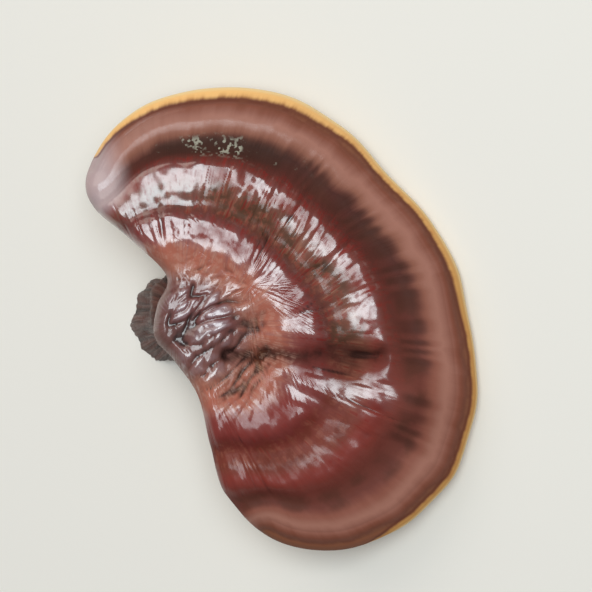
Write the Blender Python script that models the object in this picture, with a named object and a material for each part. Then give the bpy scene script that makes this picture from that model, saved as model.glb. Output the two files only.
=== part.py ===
"""Dried reishi mushroom: a varnished, kidney-shaped cap on the short stem that it grew on.

Both pieces are worked out in the cap's own growth frame, in millimetres: "out" runs from the stem to the
rim, "side" runs to the smaller lobe, and "up" is square to the cap. They hang from an empty that leans the
cap over until it rests on its rim and on the sawn foot of the stem. The origin is on that resting plane,
under the middle of the mushroom.
"""

import math

import bmesh
import bpy
import numpy as np
from mathutils import Vector, noise

MM = 0.001

# The margin, seen square from above, as (out, side) points that a smooth closed curve runs through.
# It starts at the notch beside the stem and goes round the large lobe, the front and the small lobe.
MARGIN = (
    (-1.7, 4.7), (-4.4, -1.0), (-2.2, -7.0), (-0.2, -15.0), (-1.2, -25.0), (-1.8, -36.0), (3.6, -47.0),
    (15.0, -53.9), (29.0, -54.4), (41.5, -48.6), (50.0, -39.0), (54.4, -29.0), (56.1, -19.0),
    (57.3, -8.5), (55.6, 1.5), (50.6, 14.0), (45.4, 25.6), (37.5, 34.9), (27.0, 40.8), (14.8, 43.7),
    (3.5, 41.7), (-3.7, 37.1), (-7.2, 32.0), (-6.6, 26.6), (-2.2, 19.0), (2.1, 9.6),
)  # fmt: skip
FOCUS = (1.3, 0.0)  # where the growth rings centre, over the stem
HUB = (17.0, 2.0)  # where the lines of points that run out to the margin start
SQUARE_RUN = 0.15  # share of its length over which such a line bends round to meet the margin squarely
FAN_BEARINGS = (-88, 100)  # between these bearings from the focus, in degrees, the margin is a growing rim,
NOTCH_REACH = 30.0  # apart from what lies nearer to the focus than this
BEARING_STEP = 2
RING_EVENING = 9  # bearing steps over which that distance is evened out
RIM_BLEND = (3.0, 12.0)  # the rings follow the rim within the first distance of it, the focus past the second
SCALLOP = 0.6  # the rim's small in-and-out waves
SCALLOP_LENGTH = 11.0
SCALLOP_FADE = (12.0, 42.0)  # they fade in between these distances from the hub

# The cap's heights, above the middle of the rim
CORE_HEIGHT = 7.6
DOME_POWER = 2.4
RIM_TOP = 1.9
RIM_UNDER = -2.1
CORE_UNDER = -5.8
UNDER_POWER = 0.8
DROOP = 2.4  # how much lower the rim hangs than the core
SIDE_DROOPS = (1.5, -2.0)  # how much lower still the large and the small lobe hang, 50 mm to the side
LOBE_SIDE = 50.0
EDGE_ROUNDING = 3.0  # the edge is rounded over within this distance, or half its thickness where that is less
WAVE = 0.7  # slow rise and fall along the rim
WAVE_WINDING = 1.6  # the windings say how closely a noise that runs round the cap is waved

# Growth rings on top are flat-topped shelves with hollows between them. A shelf has the share of the way
# from stem to rim, its width to either side of that in the same share (towards the stem and towards the
# rim), its height, and how steeply that rises to the share.
SHELVES = (
    (0.395, 0.130, 0.070, 1.15, 6.0),
    (0.630, 0.105, 0.072, 1.20, 9.0),
    (0.895, 0.090, 0.067, 0.75, 2.5),
)
SHELF_POWER = 4  # how flat they are
# A hollow has its share, half width, height, and the bearing where it ends towards the smaller lobe
HOLLOWS = (
    (0.22, 0.060, -0.35, 150),
    (0.505, 0.035, -0.45, 150),
    (0.765, 0.050, -0.75, 98),
    (0.96, 0.014, -0.25, 150),
)
HOLLOW_FADE = 16  # degrees over which it ends
# The rings run nearer the stem at some bearings: bearing in degrees, share at mid growth
RING_DRIFT = ((-95, -0.06), (-60, -0.05), (-27, -0.035), (0, -0.01), (41, 0.02), (66, 0.0), (93, -0.085))
RING_WOBBLE = 0.010
RING_WINDING = 5.0
FOLD = 0.4  # ribs that fan out from the stem
FOLD_SPAN = (0.15, 0.90)  # shares of the way from stem to rim where they start and end
FOLD_BRANCHING = (16.0, 34.0)  # they are broad up to the first distance and fine from the second on
FOLD_WINDINGS = (4.5, 11.0)
UMBO = (8.0, -5.0)  # (out, side) of the middle of the gnarled ground over the stem
UMBO_RADII = (11.0, 16.0)  # along out and side
UMBO_TURN = 20.0  # degrees that its folds lie turned from "out" towards "side"
# Height, and waves to the millimetre along and across the way that they lie
UMBO_FOLDS = (1.0, 0.075, 0.21)
UMBO_KNOBS = (0.4, 0.15, 0.22)
CREASE = ((8.4, -9.3), (36.0, -19.7))  # a furrow between the two lobes, as (out, side)
CREASE_DEPTH = 1.3
CREASE_WIDTH = 2.4
SHOULDER = ((19.0, -20.0), (39.0, -30.5))  # the swelling on the large lobe's side of it
SHOULDER_WIDTH = 5.5
SHOULDER_HEIGHT = 1.0
SHOULDER_RISE = 8.0  # how steeply that rises with the share of the way from stem to rim, from
SHOULDER_START = 0.58  # this share
SHOULDER_CALM = 0.75  # how much of the rings it swallows

# The stem
STEM_TOP = (5.0, 0.2)  # (out, side) of its middle where it enters the cap
STEM_FOOT = (-2.0, 1.4)
STEM_RADII = (7.2, 8.2)  # along out and side
STEM_COLLAR = 0.30  # how much wider it is where it runs into the cap
STEM_NECK = 0.06  # how much slimmer it is half way down
# Height as a share of its radius, and how closely they are waved round it and along it
STEM_GROOVES = (0.13, 2.6, 1.1)
STEM_LUMPS = (0.20, 1.2, 2.4)
STEM_TOP_UP = 0.5  # it starts inside the cap, which then cuts it to fit
STEM_SHOULDER = 0.25  # share of its length over which its top is rounded
SEAM = 0.3  # gap between the cap and the stem

CAP_LEAN = 16.0  # degrees

CRUST_COLOUR = (0.20, 0.055, 0.035)
CRUST_ROUGHNESS = 0.3
BARK_COLOUR = (0.075, 0.040, 0.035)
BARK_ROUGHNESS = 0.5

CAP_SEGMENTS = 96
TOP_RINGS = 26
UNDER_RINGS = 13
RING_CROWDING = 1.35  # draws the rings of points together towards the rim
STEM_SEGMENTS = 32
STEM_RINGS = 16
CURVE_STEPS = 24
MARGIN_SAMPLES = 720


def closed_curve(points, count):
    """Evenly spaced points along the closed Catmull-Rom curve through the given points."""
    here = np.array(points, float)
    before, after, beyond = (np.roll(here, shift, axis=0) for shift in (1, -1, -2))
    t = np.linspace(0, 1, CURVE_STEPS, endpoint=False)[None, :, None]
    before, here, after, beyond = (p[:, None, :] for p in (before, here, after, beyond))
    dense = here + 0.5 * (
        t * (after - before)
        + t**2 * (2 * before - 5 * here + 4 * after - beyond)
        + t**3 * (3 * here - before - 3 * after + beyond)
    )
    dense = dense.reshape(-1, 2)
    dense = np.vstack([dense, dense[:1]])
    along = np.concatenate([[0], np.cumsum(np.linalg.norm(np.diff(dense, axis=0), axis=1))])
    wanted = np.linspace(0, along[-1], count, endpoint=False)
    return np.column_stack([np.interp(wanted, along, dense[:, axis]) for axis in (0, 1)])


def inward_normals(margin):
    """Unit normals of a closed curve that runs counterclockwise, pointing inside."""
    along = np.roll(margin, -1, axis=0) - np.roll(margin, 1, axis=0)
    return np.column_stack([-along[:, 1], along[:, 0]]) / np.linalg.norm(along, axis=1, keepdims=True)


def scalloped(margin):
    """The margin with the small waves of a growing rim, which fade out beside the stem."""
    outwards = margin - np.array(HUB)
    length = np.linalg.norm(outwards, axis=1, keepdims=True)
    waves = np.array([[noise.noise(Vector((*point, 0)) / SCALLOP_LENGTH)] for point in margin])
    start, full = SCALLOP_FADE
    fade = np.clip((length - start) / (full - start), 0, 1)
    return margin + SCALLOP * waves * fade * outwards / length


def from_focus(points):
    """Distances from the focus, and bearings in degrees."""
    offsets = points - np.array(FOCUS)
    return np.linalg.norm(offsets, axis=-1), np.degrees(np.arctan2(offsets[..., 1], offsets[..., 0]))


def growing_part(margin):
    """The stretch of the margin that the cap grew outwards at, without the notch beside the stem."""
    distances, bearings = from_focus(margin)
    in_fan = (bearings > FAN_BEARINGS[0]) & (bearings < FAN_BEARINGS[1])
    return margin[in_fan & (distances > NOTCH_REACH)]


def fan_reaches(rim):
    """Bearings from the focus, and how far out the rings' outer end lies at each: evened-out rim."""
    distances, bearings = from_focus(rim)
    first, last = FAN_BEARINGS
    beyond = RING_EVENING * BEARING_STEP
    fan = np.arange(first - beyond, last + beyond, BEARING_STEP)
    reaches = [distances[np.abs(bearings - near) < BEARING_STEP].mean() for near in np.clip(fan, first, last)]
    padded = np.pad(reaches, RING_EVENING // 2, mode="edge")
    return fan, np.convolve(padded, np.ones(RING_EVENING) / RING_EVENING, mode="valid")


smooth_margin = closed_curve(MARGIN, MARGIN_SAMPLES)
margin_normals = inward_normals(smooth_margin)
margin_line = scalloped(smooth_margin)
growing_rim = growing_part(margin_line)
rim_bearings, rim_reaches = fan_reaches(growing_rim)


def bump(value, centre, width):
    """A smooth hump, 1 high."""
    return math.exp(-(((value - centre) / width) ** 2))


def shelf(value, centre, inner_width, outer_width):
    """A flat-topped hump, 1 high."""
    width = inner_width if value < centre else outer_width
    return math.exp(-(((value - centre) / width) ** SHELF_POWER))


def smooth_step(value):
    value = min(max(value, 0), 1)
    return value * value * (3 - 2 * value)


def distance_to_line(point, starts, ends):
    """Distance from a point to the nearest of several straight lines."""
    steps = ends - starts
    share = ((point - starts) * steps).sum(axis=1) / (steps**2).sum(axis=1)
    nearest = starts + np.clip(share, 0, 1)[:, None] * steps
    return np.linalg.norm(point - nearest, axis=1).min()


def margin_distance(out, side):
    """Distance to the cap's whole outline, seen square from above."""
    return distance_to_line(np.array((out, side)), margin_line, np.roll(margin_line, -1, axis=0))


def growth(out, side):
    """Distance from the focus, the share that it is of the way to the rim, and the bearing in degrees."""
    point = np.array((out, side))
    distance, bearing = from_focus(point)
    reach = np.interp(bearing, rim_bearings, rim_reaches)
    to_rim = distance_to_line(point, growing_rim[:-1], growing_rim[1:])
    near, far = RIM_BLEND
    inner = smooth_step((to_rim - near) / (far - near))
    return distance, inner * distance / reach + (1 - inner) * (1 - to_rim / reach), bearing


def around(bearing, winding, depth=0.0):
    """Noise that runs round the cap without a seam, and changes with the depth."""
    turn = math.radians(bearing)
    return noise.noise(Vector((math.cos(turn) * winding, math.sin(turn) * winding, depth)))


def ring_relief(share, bearing, swelling):
    """Growth rings: shelves, and the hollows between them, which the swelling levels out."""
    drift = np.interp(bearing, *zip(*RING_DRIFT)) + RING_WOBBLE * around(bearing, RING_WINDING)
    place = share + drift * math.sin(math.pi * min(share, 1))
    shelves = sum(
        (height + rise * (place - centre)) * shelf(place, centre, inner_width, outer_width)
        for centre, inner_width, outer_width, height, rise in SHELVES
    )
    hollows = sum(
        height * bump(place, centre, width) * smooth_step((last - bearing) / HOLLOW_FADE)
        for centre, width, height, last in HOLLOWS
    )
    raised = SHOULDER_HEIGHT + SHOULDER_RISE * (place - SHOULDER_START)
    return (shelves + hollows) * (1 - SHOULDER_CALM * swelling) + raised * swelling


def fold_relief(distance, share, bearing):
    """Ribs that fan out from the stem, broad near it, and die out before the smooth rim."""
    start, end = FOLD_SPAN
    strength = math.sqrt(math.sin(math.pi * min(max((share - start) / (end - start), 0), 1)))
    near, far = FOLD_BRANCHING
    fine = smooth_step((distance - near) / (far - near))
    broad_ribs, fine_ribs = (around(bearing, winding, share) for winding in FOLD_WINDINGS)
    return FOLD * strength * (broad_ribs * (1 - fine) + fine_ribs * fine)


def umbo_relief(out, side):
    """Gnarled folds and knobs over the stem, drawn out along the way that the cap grew."""
    out_share = (out - UMBO[0]) / UMBO_RADII[0]
    side_share = (side - UMBO[1]) / UMBO_RADII[1]
    strength = bump(math.hypot(out_share, side_share), 0, 1)
    turn = math.radians(UMBO_TURN)
    along = out * math.cos(turn) + side * math.sin(turn)
    across = side * math.cos(turn) - out * math.sin(turn)
    relief = 0
    for depth, (height, waves_along, waves_across) in enumerate((UMBO_FOLDS, UMBO_KNOBS)):
        relief += height * noise.noise(Vector((along * waves_along, across * waves_across, 3 + 5 * depth)))
    return strength * relief


def nearness(out, side, line, width):
    """1 on a line between two points, falling off smoothly beside it."""
    start, end = np.array(line)
    return bump(distance_to_line(np.array((out, side)), start[None], end[None]), 0, width)


def sag(side, share, bearing):
    """How far the whole thickness of the cap hangs below its core."""
    large_lobe, small_lobe = SIDE_DROOPS
    side_droop = small_lobe if side > 0 else large_lobe
    return (
        DROOP * min(share, 1) ** 3
        + side_droop * (side / LOBE_SIDE) ** 2
        + WAVE * share**2 * around(bearing, WAVE_WINDING)
    )


def open_heights(out, side):
    """Top and underside of the cap, before they are rounded into each other at the margin."""
    distance, share, bearing = growth(out, side)
    inner = 1 - min(share, 1) ** DOME_POWER
    top = RIM_TOP + (CORE_HEIGHT - RIM_TOP) * inner
    swelling = nearness(out, side, SHOULDER, SHOULDER_WIDTH)
    top += ring_relief(share, bearing, swelling) + fold_relief(distance, share, bearing)
    top += umbo_relief(out, side) - CREASE_DEPTH * nearness(out, side, CREASE, CREASE_WIDTH)
    under = RIM_UNDER + (CORE_UNDER - RIM_UNDER) * (1 - min(share, 1)) ** UNDER_POWER
    hang = sag(side, share, bearing)
    return top - hang, under - hang


def cap_height(out, side, on_top):
    """The cap's surface over one point, rounded over at the margin like half an ellipse."""
    top, under = open_heights(out, side)
    middle = (top + under) / 2
    half = (top - under) / 2
    inset = min(margin_distance(out, side) / min(half, EDGE_ROUNDING), 1)
    rounding = math.sqrt(1 - (1 - inset) ** 2)
    return middle + (half if on_top else -half) * rounding


def ray_point(index, spread):
    """A point on the curved line from the hub that meets the margin squarely at the given sample."""
    hub, end = np.array(HUB), margin_line[index]
    bend = end + margin_normals[index] * SQUARE_RUN * np.linalg.norm(end - hub)
    return (1 - spread) ** 2 * hub + 2 * spread * (1 - spread) * bend + spread**2 * end


def cap_point(turn, fall):
    """Where a point of the sphere goes: its rings run out over the top to the margin and back underneath."""
    ring = round(fall * (TOP_RINGS + UNDER_RINGS))
    on_top = ring <= TOP_RINGS
    step = ring / TOP_RINGS if on_top else (TOP_RINGS + UNDER_RINGS - ring) / UNDER_RINGS
    spread = 1 - (1 - step) ** RING_CROWDING
    out, side = ray_point(round(turn * MARGIN_SAMPLES) % MARGIN_SAMPLES, spread)
    return side, -out, cap_height(out, side, on_top)


def stem_point(turn, fall, floor_up):
    """The stem's sphere: a rounded top inside the cap, lumpy sides, and a foot sawn off along the floor."""
    ring = round(fall * STEM_RINGS)
    down = min(ring / (STEM_RINGS - 1), 1)
    size = 1 + STEM_COLLAR * (1 - down) ** 4 - STEM_NECK * math.sin(math.pi * down)
    size *= math.sqrt(1 - (1 - min(down / STEM_SHOULDER, 1)) ** 2)
    size *= ring < STEM_RINGS
    angle = turn * math.tau
    facing = Vector((math.cos(angle), math.sin(angle), 0))
    size *= 1 + sum(
        height * noise.noise(facing * waves_round + Vector((0, 0, down * waves_along)))
        for height, waves_round, waves_along in (STEM_GROOVES, STEM_LUMPS)
    )
    middle = Vector(STEM_TOP).lerp(Vector(STEM_FOOT), down)
    out = middle.x + STEM_RADII[0] * size * facing.x
    side = middle.y + STEM_RADII[1] * size * facing.y
    return side, -out, STEM_TOP_UP + (floor_up(-out) - STEM_TOP_UP) * down


def material(name, colour, roughness):
    made = bpy.data.materials.new(name)
    made.use_nodes = True
    shader = made.node_tree.nodes["Principled BSDF"]
    shader.inputs["Base Color"].default_value = (*colour, 1)
    shader.inputs["Roughness"].default_value = roughness
    shader.inputs["Metallic"].default_value = 0
    made.diffuse_color = (*colour, 1)
    return made


def shaped_sphere(name, segments, rings, place, collection):
    """A UV sphere whose points are moved to place(turn, fall), in millimetres.

    Turn is the share of a turn round the poles, and fall the share of the way from the top pole to the
    bottom one.
    """
    shape = bmesh.new()
    bmesh.ops.create_uvsphere(shape, u_segments=segments, v_segments=rings, radius=1)
    for vert in shape.verts:
        turn = math.atan2(vert.co.y, vert.co.x) / math.tau
        fall = math.acos(max(-1, min(1, vert.co.z))) / math.pi
        vert.co = Vector(place(turn, fall)) * MM
    bmesh.ops.triangulate(shape, faces=shape.faces, quad_method="SHORT_EDGE")
    mesh = bpy.data.meshes.new(name)
    shape.to_mesh(mesh)
    shape.free()
    mesh.shade_smooth()
    made = bpy.data.objects.new(name, mesh)
    collection.objects.link(made)
    return made


def make_cap(collection):
    cap = shaped_sphere("cap", CAP_SEGMENTS, TOP_RINGS + UNDER_RINGS, cap_point, collection)
    cap.data.materials.append(material("varnished crust", CRUST_COLOUR, CRUST_ROUGHNESS))
    return cap


def clearance_cutter(cap, collection):
    """The cap moved down and back by the seam, which shapes the top of the stem to fit under it."""
    cutter = bpy.data.objects.new("cap_clearance", cap.data)
    cutter.location = Vector((0, SEAM, -SEAM)) * MM
    cutter.hide_render = True
    cutter.display_type = "WIRE"
    collection.objects.link(cutter)
    return cutter


def make_stem(collection, cutter, floor_up):
    def place(turn, fall):
        return stem_point(turn, fall, floor_up)

    stem = shaped_sphere("stem", STEM_SEGMENTS, STEM_RINGS, place, collection)
    stem.data.materials.append(material("stem bark", BARK_COLOUR, BARK_ROUGHNESS))
    cut = stem.modifiers.new("fit to cap", "BOOLEAN")
    cut.operation = "DIFFERENCE"
    cut.solver = "EXACT"
    cut.object = cutter
    return stem


def resting_floor(cap):
    """A function of y: the height, in the growth frame, of the floor that the leaning cap touches."""
    lean = math.radians(CAP_LEAN)
    level = min(v.co.y * math.sin(lean) + v.co.z * math.cos(lean) for v in cap.data.vertices) / MM

    def floor_up(y):
        return (level - y * math.sin(lean)) / math.cos(lean)

    return floor_up


def world_bounds(objects):
    bpy.context.view_layer.update()
    graph = bpy.context.evaluated_depsgraph_get()
    corners = []
    for piece in objects:
        evaluated = piece.evaluated_get(graph)
        corners += [evaluated.matrix_world @ vert.co for vert in evaluated.data.vertices]
    return np.min(corners, axis=0), np.max(corners, axis=0)


def new_collection(name):
    made = bpy.data.collections.new(name)
    bpy.context.scene.collection.children.link(made)
    return made


def main():
    for startup in list(bpy.data.objects):
        bpy.data.objects.remove(startup)
    pieces = new_collection("reishi mushroom")
    helpers = new_collection("cutters")

    stance = bpy.data.objects.new("stance", None)
    pieces.objects.link(stance)
    stance.rotation_euler.x = math.radians(CAP_LEAN)

    cap = make_cap(pieces)
    cutter = clearance_cutter(cap, helpers)
    stem = make_stem(pieces, cutter, resting_floor(cap))
    for piece in (cap, stem, cutter):
        piece.parent = stance

    lowest, highest = world_bounds((cap, stem))
    stance.location = -Vector(((lowest[0] + highest[0]) / 2, (lowest[1] + highest[1]) / 2, lowest[2]))


main()
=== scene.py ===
import math
from functools import reduce

import bmesh
import bpy
import numpy as np
from mathutils import Matrix, Vector, kdtree, noise


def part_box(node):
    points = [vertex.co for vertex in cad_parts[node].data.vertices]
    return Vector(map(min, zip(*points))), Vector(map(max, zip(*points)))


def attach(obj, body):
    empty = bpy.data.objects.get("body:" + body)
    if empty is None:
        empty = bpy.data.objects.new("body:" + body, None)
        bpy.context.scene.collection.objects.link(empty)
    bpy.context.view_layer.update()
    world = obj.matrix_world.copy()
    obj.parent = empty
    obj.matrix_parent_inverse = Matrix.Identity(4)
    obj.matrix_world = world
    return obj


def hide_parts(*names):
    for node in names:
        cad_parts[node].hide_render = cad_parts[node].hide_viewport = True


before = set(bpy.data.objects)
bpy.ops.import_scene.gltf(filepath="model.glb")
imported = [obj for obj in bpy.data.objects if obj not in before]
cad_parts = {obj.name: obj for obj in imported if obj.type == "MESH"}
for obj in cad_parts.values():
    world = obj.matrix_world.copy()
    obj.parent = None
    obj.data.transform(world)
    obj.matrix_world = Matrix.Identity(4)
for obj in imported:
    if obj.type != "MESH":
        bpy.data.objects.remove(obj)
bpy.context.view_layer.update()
mm = 0.001
lean = math.radians(16)


def hexColor(code):
    # a web colour as the linear RGBA that shaders take
    parts = [int(code[i : i + 2], 16) / 255 for i in (1, 3, 5)]
    return [c / 12.92 if c <= 0.04045 else ((c + 0.055) / 1.055) ** 2.4 for c in parts] + [1]


def smoothStep(value, low=0.0, high=1.0):
    t = np.clip((value - low) / (high - low), 0, 1)
    return t * t * (3 - 2 * t)


def window(value, start, full, fade, end):
    # 0 outside start and end, 1 between full and fade
    return smoothStep(value, start, full) * (1 - smoothStep(value, fade, end))


def hump(value, centre, width):
    return np.exp(-(((value - centre) / width) ** 2))


def noiseAt(x, y, z):
    points = np.stack(np.broadcast_arrays(x, y, z), axis=-1).reshape(-1, 3).tolist()
    return np.array([noise.noise(p) for p in points]).reshape(np.broadcast(x, y, z).shape)


def crumple(x, y, z):
    # rounded swellings with sharp clefts between them, about -0.4 to 0.8
    return 2 * np.abs(noiseAt(x, y, z)) - 0.35


def around(bearing, winding, depth=0.0):
    # noise that runs round the cap without a seam
    return noiseAt(np.cos(bearing) * winding, np.sin(bearing) * winding, depth)


def sphereMesh(name, segments, rings):
    # a UV sphere, with each point's ring and segment
    shape = bmesh.new()
    bmesh.ops.create_uvsphere(shape, u_segments=segments, v_segments=rings, radius=1)
    mesh = bpy.data.meshes.new(name)
    shape.to_mesh(mesh)
    shape.free()
    places = np.empty(len(mesh.vertices) * 3)
    mesh.vertices.foreach_get("co", places)
    x, y, z = places.reshape(-1, 3).T
    ring = np.rint(np.arccos(np.clip(z, -1, 1)) / math.pi * rings).astype(int)
    segment = np.rint(np.arctan2(y, x) / math.tau * segments).astype(int) % segments
    return mesh, ring, segment


def storeOnPoints(mesh, layers):
    # what the materials read, by name
    for name, values in layers.items():
        kind, key = ("FLOAT", "value") if values.ndim == 1 else ("FLOAT_VECTOR", "vector")
        data = mesh.attributes.new(name, kind, "POINT").data
        data.foreach_set(key, np.ascontiguousarray(values, dtype=np.float32).ravel())


def layOut(mesh, ring, segment, places, outwards, rim):
    # the map that the colours are baked through: an upper and a lower disc, where each point lies as far out
    # as the surface is long
    grid = np.empty((ring.max() + 1, len(outwards), 3))
    grid[ring, segment] = places
    grid[0], grid[-1] = places[ring == 0], places[ring == ring.max()]
    steps = np.linalg.norm(np.diff(grid, axis=0), axis=2)
    run = np.vstack([np.zeros(len(outwards)), np.cumsum(steps, axis=0)])[..., None]
    outwards = outwards / np.linalg.norm(outwards, axis=1, keepdims=True)
    upper, lower = run * outwards, (run[-1] - run) * outwards * (-1, 1)
    corners = np.empty(len(mesh.loops), dtype=np.int32)
    mesh.loops.foreach_get("vertex_index", corners)
    starts = np.empty(len(mesh.polygons), dtype=np.int32)
    mesh.polygons.foreach_get("loop_start", starts)
    beyond = np.maximum.reduceat(ring[corners], starts) > rim
    beyond = np.repeat(beyond, np.diff(starts, append=len(corners)))
    rings, segments = ring[corners], segment[corners]
    flat = np.where(beyond[:, None], lower[rings, segments], upper[rings, segments])
    for disc in (beyond, ~beyond):
        flat[disc] -= flat[disc].min(axis=0)
    flat[beyond, 1] += 1.03 * flat[~beyond, 1].max()
    flat = 0.01 + 0.98 * flat / flat.max()
    mesh.uv_layers.new(name="OFBake").data.foreach_set("uv", flat.astype(np.float32).ravel())


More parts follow.
